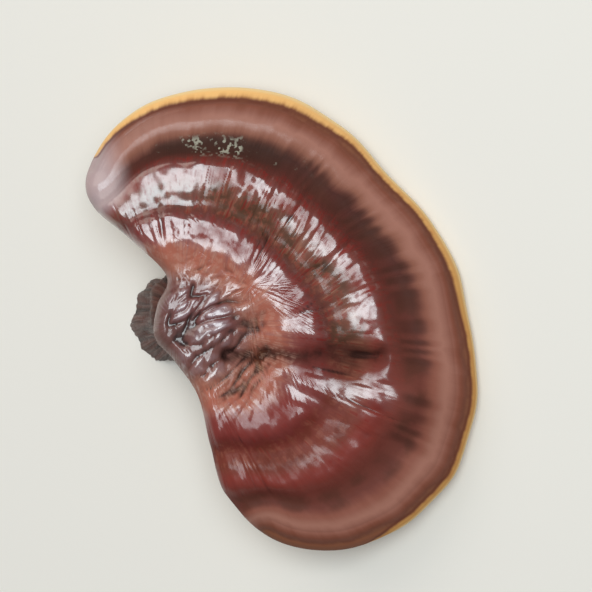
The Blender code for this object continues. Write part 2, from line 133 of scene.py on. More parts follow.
# the cap: lengths in millimetres, bearings in degrees round the focus, places as shares of the way to the rim
capShape = {
    # the margin as (out, side) points, from the notch beside the stem round the large lobe
    "margin": (
        (-1.7, 4.7), (-4.4, -1.0), (-2.2, -7.0), (-0.2, -15.0), (-1.2, -25.0), (-1.8, -36.0), (3.6, -47.0),
        (15.0, -53.9), (29.0, -54.4), (41.5, -48.6), (50.0, -39.0), (54.4, -29.0), (56.1, -19.0),
        (57.3, -8.5), (55.6, 1.5), (50.6, 14.0), (45.4, 25.6), (37.5, 34.9), (27.0, 40.8), (14.8, 43.7),
        (3.5, 41.7), (-3.7, 37.1), (-7.2, 32.0), (-6.6, 26.6), (-2.2, 19.0), (2.1, 9.6),
    ),
    "curveSteps": 48,
    "marginSamples": 1440,
    "scallop": (0.6, 11.0),  # size and length of the margin's small waves
    "scallopFade": (12.0, 42.0),  # they grow with the distance from the hub
    "hub": (17.0, 2.0),  # where the mesh's lines start that run out to the margin
    "squareRun": 0.15,  # how square they meet it
    "focus": (1.3, 0.0),  # where the growth rings centre
    "fanBearings": (-88, 100),  # the margin is a growing rim between them
    "notchReach": 30.0,  # as far as it is this far out
    "bearingStep": 2,
    "ringEvening": 9,  # steps over which the rings' reach is evened out
    "rimBlend": (3.0, 12.0),  # nearer the rim than that, the rings follow it
    # the body
    "segments": 480,
    "topRings": 132,
    "underRings": 64,
    "crowding": 1.7,  # draws the rings of points towards the rim
    "coreHeight": 7.6,
    "domePower": 2.4,
    "rimTop": 1.9,
    "rimUnder": -2.1,
    "coreUnder": -5.8,
    "underPower": 0.8,
    "underWaves": (0.20, 3, 7),  # height, and waves round and outwards
    "droop": 2.4,  # how much lower the rim hangs than the core
    "sideDroops": (1.5, -2.0),  # how much lower the large and the small lobe hang
    "lobeSide": 50.0,  # at this distance to the side
    "edgeRounding": 3.0,  # within how much of the margin the edge is rounded over
    "poreEdge": 0.30,  # from which share of that the underside has pores
    "wave": (0.7, 1.6),  # slow rise and fall along the rim: height and winding
    # growth rings are shelves: place, widths towards the stem and the rim, height, rise to the place
    "shelves": (
        (0.395, 0.130, 0.070, 1.15, 6.0), (0.630, 0.105, 0.072, 1.20, 9.0), (0.895, 0.090, 0.067, 0.75, 2.5),
    ),
    "shelfPower": 4,  # how flat they are
    # with a hollow before each and one at the rim: place, half width, height, the bearing where it ends
    "hollows": (
        (0.22, 0.060, -0.35, 150), (0.505, 0.035, -0.45, 150), (0.765, 0.050, -0.75, 98),
        (0.96, 0.014, -0.25, 150),
    ),
    "hollowFade": 16,
    "outerRidge": 1,  # which of the shelves, with the hollow before it, the small lobe's gloss runs over
    "glossyRidge": (46, 74, 0.35, 0.65),  # bearings from which it is wider and flatter, and by how much
    # how much nearer the stem the rings lie by bearing, and the size and winding of their waver
    "ringDrift": ((-95, -0.06), (-60, -0.05), (-27, -0.035), (0, -0.01), (41, 0.02), (66, 0.0), (93, -0.085)),
    "ringWobble": (0.010, 5.0),
    # broad ribs fan out from the stem: their height, where they start and end, at which distances they
    # branch, and how many turns of noise they are before and after
    "fold": 0.4,
    "foldSpan": (0.15, 0.90),
    "foldBranching": (16.0, 34.0),
    "foldWindings": (4.5, 11.0),
    "foldCalm": (60, 78, 0.8),  # bearings from which the outer ridge is smoother, and by how much
    "foldCalmSpan": (0.48, 0.56),
    "askew": (0.42, 26.0, 14.0, 38.0),  # tangent of the ribs' skew beside the crease, and at which distances
    "askewBearings": (-24, -10, 18, 48),
    # gnarled ground over the stem
    "umbo": (8.0, -5.0),
    "umboRadii": (11.0, 16.0),
    "umboTurn": 20.0,
    "umboWaves": ((1.0, 0.075, 0.21), (0.4, 0.15, 0.22)),  # height, waves to the millimetre along and across
    # the crease, and the swelling beside it
    "crease": ((8.4, -9.3), (36.0, -19.7)),
    "creaseDepth": 1.3,
    "creaseWidth": 2.4,
    "shoulder": ((19.0, -20.0), (39.0, -30.5)),
    "shoulderWidth": 5.5,
    "shoulderHeight": 1.0,
    "shoulderRise": (8.0, 0.58),  # how steeply it rises to the rim, and from which place
    "shoulderSmooth": (0.95, 1.2),  # how much of the rings it swallows, and how far
    "shoulderSheen": 5.0,  # half width of its gloss
    # fine relief, which only the scene has. Furrows part the ribs: depth, winding, width
    "furrows": ((0.30, 9.5, 0.075), (0.13, 19.0, 0.10), (0.035, 47.0, 0.20)),
    "furrowPatches": (0.3, 5.0, -0.30, 0.25),  # they run deep in patches: least share, winding, noise limits
    "furrowSpan": (0.30, 0.40, 0.70, 0.80),
    "furrowCalm": (54, 72, 0.9),  # bearings from which the outer ridge is smoother, and by how much
    "furrowCalmSpan": (0.5, 0.58),
    "knobbly": (0.2, 0.6),  # they end where the ground is that gnarled
    # small swellings on the ridges: height, length
    "swells": ((0.20, 3.4), (0.08, 1.5)),
    "swellSpan": (0.28, 0.36, 0.66, 0.76),
    "swellCalm": 0.8,  # how much smoother the small lobe's glossy swelling is
    "bumpyBearings": (14, 30, 44, 54),  # the outer ridge is bumpy rather than furrowed there
    "bumpy": (0.6, 1.2),  # how much shallower its furrows are, and how much higher its swellings
    # fingers reach out into the smooth roll
    "comb": 0.05,
    "combWidth": 4.6,  # from one finger to the next
    "combFront": (-62, -45, 26, 44),
    "combSpan": (0.70, 0.75, 0.80, 0.85),
    # crevices between the knobs over the stem: depth, waves to the millimetre along and across, width
    "crevices": ((0.50, 0.12, 0.36, 0.13), (0.26, 0.26, 0.60, 0.15), (0.06, 0.6, 1.2, 0.25)),
    "creviceBend": (1.6, 0.08, 0.10),  # how far they bend, in which waves
    "creviced": (0.20, 0.62),  # how gnarled the ground is where they start and are full
    "cleft": (0.7, 0.5),  # depth and half width of the sharp line in the crease
    "cleftWander": (1.5, 0.22),  # how far it winds, in which waves
    "cleftGaps": (0.5, 1.4, 0.16),  # it has gaps: the level, size and waves of its strength
    "creaseGroundAndShade": ((12.0, 1.1), (36.0, 2.6)),  # half width of the crease's dark ground, with painted shade in the fold, by distance
    "pit": (30.5, -18.6, 3.8, -0.7),  # the crease's deep outer end: out, side, radius, height
    "rimLines": ((0.925, 0.005, -0.08), (0.972, 0.006, -0.10)),
    # colour zones: they run nearer the stem towards the small lobe than the relief does
    "zoneDrift": ((-45, 0.0), (25, 0.0), (60, 0.03), (80, 0.04)),
    "zoneDriftSpan": (0.66, 0.76, 0.84, 0.93),
    # and the brown band inside the rim is wider between these bearings
    "rimDrift": ((18, 0.0), (35, 0.022), (65, 0.018), (80, 0.0)),
    "rimDriftSpan": (0.87, 0.91, 0.96, 0.99),
    "combShift": 0.012,  # how far the fingers move them
    "combShiftSpan": (0.74, 0.80, 0.86, 0.90),
    # the ochre rim: its width by bearing, how far it tapers off between which bearings, and how pale it is
    "rimBand": ((-88, 1.4), (-40, 1.3), (-22, 1.3), (-10, 1.8), (5, 1.4), (22, 1.5), (40, 2.3), (65, 2.3),
                (80, 1.9), (90, 1.1), (100, 0.5)),
    "rimTaper": (10.0, (-62, -86), (96, 104)),
    "rimTaperBelow": 0.2,  # how much of the taper there is underneath
    "rimPale": ((-35, 0.0), (0, 0.35), (25, 0.7), (60, 1.0)),
    # masks by bearing: where each starts and is full, and some of them fade and end
    "masks": {
        "merge": (86, 98),  # the rim and the outer ridge run together
        "lobe": (52, 64),  # the outer ridge becomes broad and glossy
        "glossy": (70, 90),  # the small lobe's ridges run together into one glossy swelling
        "redLobe": (-20, -45),  # the large lobe is redder
        "flank": (8, -42),  # and its dark zone lighter
        "shady": (26, 44, 72, 86),  # the dark zone is darkest and has pale greenish-grey specks
        "middle": (-50, -20, 15, 30),  # flecks of sheen lie between the ridges
    },
    # how raised the ground is, for the colours: its level, and what each form adds by height
    "crestLevel": 0.4,
    "crestShares": {"folds": 0.4, "umbo": 0.4, "ribs": 2, "wrinkles": 1.5, "cleft": 1},
}


def closedCurve(points, steps, count):
    # evenly spaced points along the closed Catmull-Rom curve through the given points
    here = np.array(points, float)
    before, after, beyond = (np.roll(here, shift, axis=0) for shift in (1, -1, -2))
    t = np.linspace(0, 1, steps, endpoint=False)[None, :, None]
    before, here, after, beyond = (p[:, None, :] for p in (before, here, after, beyond))
    dense = here + 0.5 * (
        t * (after - before)
        + t**2 * (2 * before - 5 * here + 4 * after - beyond)
        + t**3 * (3 * here - before - 3 * after + beyond)
    )
    dense = dense.reshape(-1, 2)
    dense = np.vstack([dense, dense[:1]])
    along = np.concatenate([[0], np.cumsum(np.linalg.norm(np.diff(dense, axis=0), axis=1))])
    wanted = np.linspace(0, along[-1], count, endpoint=False)
    return np.column_stack([np.interp(wanted, along, dense[:, axis]) for axis in (0, 1)])


def makeMargin(shape):
    smooth = closedCurve(shape["margin"], shape["curveSteps"], shape["marginSamples"])
    along = np.roll(smooth, -1, axis=0) - np.roll(smooth, 1, axis=0)
    normals = np.column_stack([-along[:, 1], along[:, 0]]) / np.linalg.norm(along, axis=1, keepdims=True)
    outwards = smooth - np.array(shape["hub"])
    length = np.linalg.norm(outwards, axis=1, keepdims=True)
    size, waveLength = shape["scallop"]
    waves = noiseAt(smooth[:, :1] / waveLength, smooth[:, 1:] / waveLength, 0.0)
    start, full = shape["scallopFade"]
    fade = np.clip((length - start) / (full - start), 0, 1)
    return smooth + size * waves * fade * outwards / length, normals


margin, marginNormals = makeMargin(capShape)


def distanceToCurve(points, curve, closed):
    # nearest distance from each point to a line of short steps
    tree = kdtree.KDTree(len(curve))
    for i, (a, b) in enumerate(curve.tolist()):
        tree.insert((a, b, 0), i)
    tree.balance()
    nearest = np.array([tree.find((a, b, 0))[1] for a, b in points.tolist()])
    best = np.linalg.norm(points - curve[nearest], axis=1)
    for offset in (-1, 0):
        start = nearest + offset
        end = start + 1
        if closed:
            start, end = start % len(curve), end % len(curve)
        else:
            start, end = np.clip(start, 0, len(curve) - 2), np.clip(end, 1, len(curve) - 1)
        step = curve[end] - curve[start]
        share = ((points - curve[start]) * step).sum(axis=1) / (step**2).sum(axis=1)
        foot = curve[start] + np.clip(share, 0, 1)[:, None] * step
        best = np.minimum(best, np.linalg.norm(points - foot, axis=1))
    return best


def fromFocus(points):
    offsets = points - np.array(capShape["focus"])
    return np.linalg.norm(offsets, axis=1), np.arctan2(offsets[:, 1], offsets[:, 0])


def growingRim():
    distances, bearings = fromFocus(margin)
    first, last = np.radians(capShape["fanBearings"])
    return margin[(bearings > first) & (bearings < last) & (distances > capShape["notchReach"])]


def rimReach(bearing):
    # how far out the rings' outer end lies: the growing rim, evened out
    distances, bearings = fromFocus(growingRim())
    step, evening = capShape["bearingStep"], capShape["ringEvening"]
    first, last = capShape["fanBearings"]
    fan = np.radians(np.arange(first - evening * step, last + evening * step, step))
    near = np.clip(fan, *np.radians(capShape["fanBearings"]))
    reaches = [distances[np.abs(bearings - b) < math.radians(step)].mean() for b in near]
    padded = np.pad(reaches, evening // 2, mode="edge")
    return np.interp(bearing, fan, np.convolve(padded, np.ones(evening) / evening, mode="valid"))


def growth(points):
    # distance and bearing from the focus, the share of the way to the rim, and the distance to the rim
    distance, bearing = fromFocus(points)
    reach = rimReach(bearing)
    toRim = distanceToCurve(points, growingRim(), False)
    inner = smoothStep(toRim, *capShape["rimBlend"])
    share = inner * distance / reach + (1 - inner) * (1 - toRim / reach)
    return distance, bearing, share, toRim


def byBearing(bearing, key):
    return np.interp(np.degrees(bearing), *zip(*capShape[key]))


def bearingMask(degrees, name):
    span = capShape["masks"][name]
    return window(degrees, *span) if len(span) == 4 else smoothStep(degrees, *span)


def ringPlace(share, bearing):
    size, winding = capShape["ringWobble"]
    drift = byBearing(bearing, "ringDrift") + size * around(bearing, winding)
    return share + drift * np.sin(math.pi * np.minimum(share, 1))


def ribBearing(distance, bearing):
    # the bearing that a rib is counted by: beside the crease the ribs run askew
    amount, middle, nearest, furthest = capShape["askew"]
    beside = window(np.degrees(bearing), *capShape["askewBearings"])
    return bearing - amount * np.log(np.clip(distance, nearest, furthest) / middle) * beside


def umboAxes(points):
    turn = math.radians(capShape["umboTurn"])
    out, side = points.T
    return out * math.cos(turn) + side * math.sin(turn), side * math.cos(turn) - out * math.sin(turn)


def lineDistance(points, line):
    start, end = np.array(line)
    share = np.clip(((points - start) @ (end - start)) / ((end - start) @ (end - start)), 0, 1)
    return np.linalg.norm(points - start - share[:, None] * (end - start), axis=1)


def capForms(points, distance, bearing, share):
    # the main forms, which the solid has in a plainer shape
    shape = capShape
    place, degrees = ringPlace(share, bearing), np.degrees(bearing)

    start, full, wider, flatter = shape["glossyRidge"]
    glossy = smoothStep(degrees, start, full)
    rings, power = 0, shape["shelfPower"]
    for i, (centre, innerWidth, outerWidth, height, rise) in enumerate(shape["shelves"]):
        if i == shape["outerRidge"]:
            innerWidth, rise = innerWidth * (1 + wider * glossy), rise * (1 - flatter * glossy)
        width = np.where(place < centre, innerWidth, outerWidth)
        rings = rings + (height + rise * (place - centre)) * np.exp(-(((place - centre) / width) ** power))
    for i, (centre, width, height, last) in enumerate(shape["hollows"]):
        kept = 1 - glossy if i == shape["outerRidge"] else 1
        fade = smoothStep((last - degrees) / shape["hollowFade"])
        rings = rings + kept * height * hump(place, centre, width) * fade
    swelling = hump(lineDistance(points, shape["shoulder"]), 0, shape["shoulderWidth"])
    rise, start = shape["shoulderRise"]
    raised = shape["shoulderHeight"] + rise * (place - start)
    calm, reach = shape["shoulderSmooth"]
    rings = rings * (1 - calm * np.minimum(reach * swelling, 1)) + raised * swelling

    start, end = shape["foldSpan"]
    strength = np.sqrt(np.sin(math.pi * np.clip((share - start) / (end - start), 0, 1)))
    start, full, calm = shape["foldCalm"]
    calm = calm * smoothStep(degrees, start, full) * smoothStep(place, *shape["foldCalmSpan"])
    fine = smoothStep(distance, *shape["foldBranching"])
    ribbed = ribBearing(distance, bearing)
    broadRibs, fineRibs = (around(ribbed, winding, share) for winding in shape["foldWindings"])
    folds = shape["fold"] * strength * (1 - calm) * (broadRibs * (1 - fine) + fineRibs * fine)

    offset = (points - np.array(shape["umbo"])) / np.array(shape["umboRadii"])
    gnarled = hump(np.linalg.norm(offset, axis=1), 0, 1)
    along, across = umboAxes(points)
    umbo = 0
    for i, (height, wavesAlong, wavesAcross) in enumerate(shape["umboWaves"]):
        umbo = umbo + height * noiseAt(along * wavesAlong, across * wavesAcross, 3.0 + 5 * i)
    crease = -shape["creaseDepth"] * hump(lineDistance(points, shape["crease"]), 0, shape["creaseWidth"])
    return {"rings": rings, "folds": folds, "umbo": gnarled * umbo, "crease": crease}, gnarled


def capSkin(points, distance, bearing, share, gnarled):
    # the fine relief, and masks for its colours
    shape = capShape
    place, degrees = ringPlace(share, bearing), np.degrees(bearing)
    even = 1 - smoothStep(gnarled, *shape["knobbly"])
    outerRidge = smoothStep(place, *shape["furrowCalmSpan"])
    shallower, higher = shape["bumpy"]
    bumpy = window(degrees, *shape["bumpyBearings"]) * outerRidge

    askew = ribBearing(distance, bearing)
    ribs = 0
    for i, (depth, winding, width) in enumerate(shape["furrows"]):
        ribs = ribs - depth * hump(around(askew, winding, share * (1.5 + i) + 9 * i), 0, width)
    start, full, calm = shape["furrowCalm"]
    furrowed = window(place, *shape["furrowSpan"]) * even
    furrowed = furrowed * (1 - calm * smoothStep(degrees, start, full) * outerRidge) * (1 - shallower * bumpy)
    least, winding, shallow, deep = shape["furrowPatches"]
    patches = smoothStep(around(bearing, winding, share * 4 + 3), shallow, deep)
    ribs = ribs * (least + (1 - least) * patches) * furrowed
    glossy = bearingMask(degrees, "glossy")
    swelling = window(place, *shape["swellSpan"]) * even * (1 - shape["swellCalm"] * glossy)
    swelling = swelling * (1 + higher * bumpy)
    for height, length in shape["swells"]:
        ribs = ribs + height * swelling * noiseAt(points[:, 0] / length, points[:, 1] / length, 30 * height)

    # fingers of uneven width and length
    warp = around(bearing, 7, 2.0) + 0.5 * around(bearing, 13, share * 2)
    fingers = smoothStep(np.cos(math.tau * (degrees / shape["combWidth"] + warp)), -0.9, 0.9)
    fingers = fingers * (0.75 + 0.5 * around(bearing, 11, 6.0)) * window(degrees, *shape["combFront"])
    combed = fingers * window(place, *shape["combSpan"])

    along, across = umboAxes(points)
    size, wavesAlong, wavesAcross = shape["creviceBend"]
    bend = size * noiseAt(along * wavesAlong, across * wavesAcross, 12.0)
    wrinkles = 0
    for i, (depth, wavesAlong, wavesAcross, width) in enumerate(shape["crevices"]):
        wave = noiseAt(along * wavesAlong, (across + bend) * wavesAcross, 5.0 * i)
        wrinkles = wrinkles - depth * hump(wave, 0, width)

    size, waves = shape["cleftWander"]
    fromCrease = lineDistance(points, shape["crease"]) + size * noiseAt(along * waves, across * waves, 3.0)
    level, size, waves = shape["cleftGaps"]
    sharp = smoothStep(level + size * noiseAt(along * waves, across * waves, 8.0))
    depth, width = shape["cleft"]
    pitOut, pitSide, pitRadius, pitHeight = shape["pit"]
    pit = hump(np.hypot(points[:, 0] - pitOut, points[:, 1] - pitSide), 0, pitRadius)
    creaseGroundAndShade = hump(fromCrease, 0, np.interp(distance, *zip(*shape["creaseGroundAndShade"])))
    relief = {
        "ribs": ribs,
        "comb": -shape["comb"] * combed,
        "wrinkles": smoothStep(gnarled, *shape["creviced"]) * wrinkles,
        "cleft": -depth * sharp * hump(fromCrease, 0, width) + pitHeight * pit,
        "lines": sum(height * hump(share, centre, width) for centre, width, height in shape["rimLines"]),
    }
    return relief, fingers, combed, np.maximum(creaseGroundAndShade, pit)


def makeCap():
    shape = capShape
    rings = shape["topRings"] + shape["underRings"]
    mesh, ring, segment = sphereMesh("reishiCap", shape["segments"], rings)
    onTop = ring <= shape["topRings"]
    step = np.where(onTop, ring / shape["topRings"], (rings - ring) / shape["underRings"])
    spread = (1 - (1 - step) ** shape["crowding"])[:, None]
    samples = np.arange(shape["segments"]) * shape["marginSamples"] // shape["segments"]
    hub, sample = np.array(shape["hub"]), samples[segment]
    end = margin[sample]
    square = marginNormals[sample] * shape["squareRun"] * np.linalg.norm(end - hub, axis=1, keepdims=True)
    points = (1 - spread) ** 2 * hub + 2 * spread * (1 - spread) * (end + square) + spread**2 * end

    distance, bearing, share, toRim = growth(points)
    inset = distanceToCurve(points, margin, True)
    forms, gnarled = capForms(points, distance, bearing, share)
    skin, fingers, combed, creaseGroundAndShade = capSkin(points, distance, bearing, share, gnarled)
    forms |= skin
    grown = np.clip(share, 0, 1)
    dome = shape["rimTop"] + (shape["coreHeight"] - shape["rimTop"]) * (1 - grown ** shape["domePower"])
    top = dome + sum(forms.values())
    under = shape["rimUnder"] + (shape["coreUnder"] - shape["rimUnder"]) * (1 - grown) ** shape["underPower"]
    height, wavesRound, wavesOut = shape["underWaves"]
    under = under + height * around(bearing, wavesRound, share * wavesOut)
    large, small = shape["sideDroops"]
    sideDroop = np.where(points[:, 1] > 0, small, large)
    height, winding = shape["wave"]
    hang = shape["droop"] * grown**3 + sideDroop * (points[:, 1] / shape["lobeSide"]) ** 2
    hang = hang + height * share**2 * around(bearing, winding)
    middle, half = (top + under) / 2 - hang, (top - under) / 2
    rounded = np.minimum(inset / np.minimum(half, shape["edgeRounding"]), 1)
    rounding = np.sqrt(1 - (1 - rounded) ** 2)
    up = middle + np.where(onTop, half, -half) * rounding
    places = np.column_stack([points[:, 1], -points[:, 0], up])
    mesh.vertices.foreach_set("co", (places * mm).ravel())
    mesh.shade_smooth()
    ends = margin[samples] - hub
    layOut(mesh, ring, segment, places, np.column_stack([ends[:, 1], -ends[:, 0]]), shape["topRings"])

    place, degrees, askew = ringPlace(share, bearing), np.degrees(bearing), ribBearing(distance, bearing)
    drift = byBearing(bearing, "zoneDrift") * window(place, *shape["zoneDriftSpan"])
    drift = drift + byBearing(bearing, "rimDrift") * window(place, *shape["rimDriftSpan"])
    combShift = shape["combShift"] * (fingers - 0.5) * window(place, *shape["combShiftSpan"])
    taper, *ends = shape["rimTaper"]
    below = shape["rimTaperBelow"]
    taper = taper * sum(smoothStep(degrees, *end) for end in ends)
    taper = taper * (below + (1 - below) * np.where(onTop, rounding, 0))
    crest = shape["crestLevel"] + sum(factor * forms[name] for name, factor in shape["crestShares"].items())
    masks = {name: bearingMask(degrees, name) for name in shape["masks"]}
    storeOnPoints(mesh, masks | {
        "lane": np.column_stack([np.cos(askew), np.sin(askew), share]),
        "share": place + drift - combShift * window(degrees, *shape["combFront"]),
        "rimBand": (toRim + taper) / byBearing(bearing, "rimBand"),
        "toRim": toRim,
        "gnarl": gnarled,
        "fingers": combed,
        "creaseGroundAndShade": creaseGroundAndShade,
        "shoulder": hump(lineDistance(points, shape["shoulder"]), 0, shape["shoulderSheen"]),
        "pale": byBearing(bearing, "rimPale"),
        "crest": np.clip(crest, -1, 1),
        "below": np.where(onTop, 0.0, rounded),
    })
    cap = bpy.data.objects.new("reishiCap", mesh)
    bpy.context.scene.collection.objects.link(cap)
    return cap


cap = makeCap()
print("cap made:", len(cap.data.vertices), "points")

# the stance: leaned over and set down where the cap's solid is
capLow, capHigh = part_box("cap")
leaned = Matrix.Rotation(lean, 4, "X")
cap.data.transform(leaned)
corners = np.array([v.co for v in cap.data.vertices])
low, high = Vector(corners.min(axis=0)), Vector(corners.max(axis=0))
shift = (capLow + capHigh - low - high) / 2
shift.z = capLow.z - low.z
stance = Matrix.Translation(shift) @ leaned
cap.data.transform(Matrix.Translation(shift))
print("cap placed:", [round(v * 1000, 2) for v in shift], "mm, box differs by",
      [round(v * 1000, 2) for v in (high - low) - (capHigh - capLow)])

# the stem: middles as (out, side), lengths in millimetres
stemShape = {
    "segments": 224,
    "rings": 170,
    "footRings": 40,  # so many of the rings are on the cut
    "top": (5.0, 0.2),
    "foot": (-2.0, 1.4),
    "topUp": 0.5,
    "radii": (7.2, 8.2),
    "collar": 0.30,  # how much wider it is at the cap
    "neck": 0.06,  # and how much narrower below
    "shoulder": 0.25,  # how far down its top is rounded
    # relief as shares of the radius: height, waves round and along
    "lumps": ((0.13, 2.6, 1.1), (0.20, 1.2, 2.4)),
    "barkFolds": ((0.045, 7.0, 3.0), (0.022, 16.0, 6.0)),
    "barkStart": (0.03, 0.15),
    "crestShares": (14, 2),  # how much of the bark and of the lumps counts as raised
}


def makeStem():
    shape = stemShape
    mesh, ring, segment = sphereMesh("reishiStem", shape["segments"], shape["rings"])
    sideRings = shape["rings"] - shape["footRings"]
    down = np.minimum(ring / sideRings, 1)
    inward = np.clip((ring - sideRings) / shape["footRings"], 0, 1)
    size = 1 + shape["collar"] * (1 - down) ** 4 - shape["neck"] * np.sin(math.pi * down)
    size = size * np.sqrt(1 - (1 - np.minimum(down / shape["shoulder"], 1)) ** 2) * (1 - inward)
    turns = np.arange(shape["segments"]) / shape["segments"] * math.tau
    x, y = np.cos(turns[segment]), np.sin(turns[segment])
    lumps = bark = 0
    for height, wavesRound, wavesAlong in shape["lumps"]:
        lumps = lumps + height * noiseAt(x * wavesRound, y * wavesRound, down * wavesAlong)
    for height, wavesRound, wavesAlong in shape["barkFolds"]:
        bark = bark + height * crumple(x * wavesRound, y * wavesRound, down * wavesAlong + 4)
    bark = bark * smoothStep(down, *shape["barkStart"])
    top, foot = np.array(shape["top"]), np.array(shape["foot"])
    middle = top + (foot - top) * down[:, None]
    outwards = np.column_stack([x, y]) * (size * (1 + lumps + bark))[:, None]
    points = middle + np.array(shape["radii"]) * outwards
    # the floor as the growth frame sees it
    level = -shift.z / mm
    floor = (level + points[:, 0] * math.sin(lean)) / math.cos(lean)
    up = shape["topUp"] + (floor - shape["topUp"]) * down
    places = np.column_stack([points[:, 1], -points[:, 0], up])
    mesh.vertices.foreach_set("co", (places * mm).ravel())
    mesh.shade_smooth()
    layOut(mesh, ring, segment, places, np.column_stack([np.sin(turns), -np.cos(turns)]), sideRings)
    barkShare, lumpShare = shape["crestShares"]
    storeOnPoints(mesh, {
        "lane": np.column_stack([x, y, down]),
        "inward": inward,
        "crest": np.clip(bark * barkShare + lumps * lumpShare, -1, 1),
    })
    mesh.transform(stance)
    stem = bpy.data.objects.new("reishiStem", mesh)
    bpy.context.scene.collection.objects.link(stem)
    return stem


stem = makeStem()
print("stem made:", len(stem.data.vertices), "points")

for piece, node, slotName in ((cap, "cap", "crust"), (stem, "stem", "bark")):
    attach(piece, "root")
    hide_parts(node)


def addNode(tree, kind, **settings):
    # nodes stand in columns, in the order they are made in
    column, row = divmod(len(tree.nodes), 12)
    node = tree.nodes.new(kind)
    node.location = (column * 220, row * -190)
    for name, value in settings.items():
        setattr(node, name, value)
    return node


def feed(socket, value):
    # a socket takes a colour code, a number or another node's output
    if isinstance(value, str):
        socket.default_value = hexColor(value)
    elif isinstance(value, (int, float)):
        socket.default_value = value
    else:
        socket.id_data.links.new(value, socket)


def treeOf(values):
    return next(value.id_data for value in values if isinstance(value, bpy.types.NodeSocket))


def compute(operation, *values, clamp=False):
    node = addNode(treeOf(values), "ShaderNodeMath", operation=operation, use_clamp=clamp)
    for socket, value in zip(node.inputs, values):
        feed(socket, value)
    return node.outputs[0]


def times(*values):
    return reduce(lambda a, b: compute("MULTIPLY", a, b), values)


def most(*values):
    return reduce(lambda a, b: compute("MAXIMUM", a, b), values)


def plus(*values):
    return reduce(lambda a, b: compute("ADD", a, b), values)


def inverse(value):
    return compute("SUBTRACT", 1.0, value)


def scaled(value, factor, base):
    return compute("MULTIPLY_ADD", value, factor, base)


def rise(value, low, high, start=0.0, end=1.0):
    # goes smoothly from start to end while the value goes from low to high
    node = addNode(value.id_data, "ShaderNodeMapRange", interpolation_type="SMOOTHSTEP")
    for socket, number in zip(node.inputs, (value, low, high, start, end)):
        feed(socket, number)
    return node.outputs["Result"]


def fall(value, low, high):
    return rise(value, low, high, 1.0, 0.0)


def band(value, start, full, fade, end):
    # 0 outside start and end, 1 between full and fade
    return times(rise(value, start, full), fall(value, fade, end))


def mixColors(mask, first, second):
    node = addNode(treeOf((mask, first, second)), "ShaderNodeMix", data_type="RGBA")
    for socket, value in zip((node.inputs[0], node.inputs[6], node.inputs[7]), (mask, first, second)):
        feed(socket, value)
    return node.outputs[2]


def paint(color, mask, finish):
    # lays a colour over the one below, as strongly as its mask and its own strength say
    code, strength = finish
    return mixColors(times(mask, strength), color, code)


def ramp(value, stops):
    # colours or grey levels by place
    node = addNode(value.id_data, "ShaderNodeValToRGB")
    elements = node.color_ramp.elements
    for i, (position, level) in enumerate(stops):
        element = elements[i] if i < 2 else elements.new(position)
        element.position = position
        element.color = hexColor(level) if isinstance(level, str) else (level, level, level, 1)
    feed(node.inputs["Fac"], value)
    return node.outputs["Color"]


def readAttribute(tree, name):
    node = addNode(tree, "ShaderNodeAttribute", attribute_name=name)
    return node.outputs["Vector" if name == "lane" else "Fac"]


def noiseTexture(tree, vector, **values):
    node = addNode(tree, "ShaderNodeTexNoise")
    feed(node.inputs["Vector"], vector)
    for name, value in values.items():
        feed(node.inputs[name], value)
    return node.outputs["Fac"]


def objectPlace(tree):
    return addNode(tree, "ShaderNodeTexCoord").outputs["Object"]


def newGroup(name, inputs, output):
    group = bpy.data.node_groups.new(name, "ShaderNodeTree")
    for socketName, value in inputs.items():
        kind = "NodeSocketVector" if value is None else "NodeSocketFloat"
        socket = group.interface.new_socket(socketName, in_out="INPUT", socket_type=kind)
        if value is not None:
            socket.default_value = value
    group.interface.new_socket(output, in_out="OUTPUT", socket_type="NodeSocketFloat")
    given = addNode(group, "NodeGroupInput").outputs
    return group, given, addNode(group, "NodeGroupOutput").inputs[output]


def placeGroup(tree, group, **values):
    node = addNode(tree, "ShaderNodeGroup", node_tree=group)
    for name, value in values.items():
        feed(node.inputs[name], value)
    return node.outputs[0]


# effects that the materials share
def growthStreaksGroup():
    # streaks that run along the lines of growth, finer the further round they are wound
    group, given, streak = newGroup(
        "growthStreaks", {"Lane": None, "Winding": 30.0, "Length": 3.0, "Roughness": 0.5}, "Streak")
    size = addNode(group, "ShaderNodeCombineXYZ")
    for socket, name in zip(size.inputs, ("Winding", "Winding", "Length")):
        feed(socket, given[name])
    stretched = addNode(group, "ShaderNodeVectorMath", operation="MULTIPLY")
    feed(stretched.inputs[0], given["Lane"])
    feed(stretched.inputs[1], size.outputs[0])
    grain = noiseTexture(group, stretched.outputs[0], Scale=1.0, Detail=4.0, Roughness=given["Roughness"])
    feed(streak, rise(grain, 0.32, 0.68))  # the noise hardly goes beyond these
    return group


def mottlingGroup():
    # small blotches of one size all over
    group, given, mask = newGroup("mottling", {"Scale": 300.0, "Detail": 2.0}, "Mask")
    blotches = noiseTexture(group, objectPlace(group), Scale=given["Scale"], Detail=given["Detail"])
    feed(mask, rise(blotches, 0.42, 0.62))  # about half of the ground stays free
    return group


def sporeDustGroup():
    # brown spore dust that lies in the hollows in patches
    group, given, mask = newGroup("sporeDust", {"Hollow": 0.5, "Amount": 0.5, "Scale": 120.0}, "Mask")
    patches = noiseTexture(group, objectPlace(group), Scale=given["Scale"], Detail=5.0, Roughness=0.65)
    lain = plus(scaled(patches, 0.9, -0.45), given["Hollow"])
    feed(mask, rise(compute("SUBTRACT", lain, inverse(given["Amount"])), -0.12, 0.22))  # soft edges
    return group


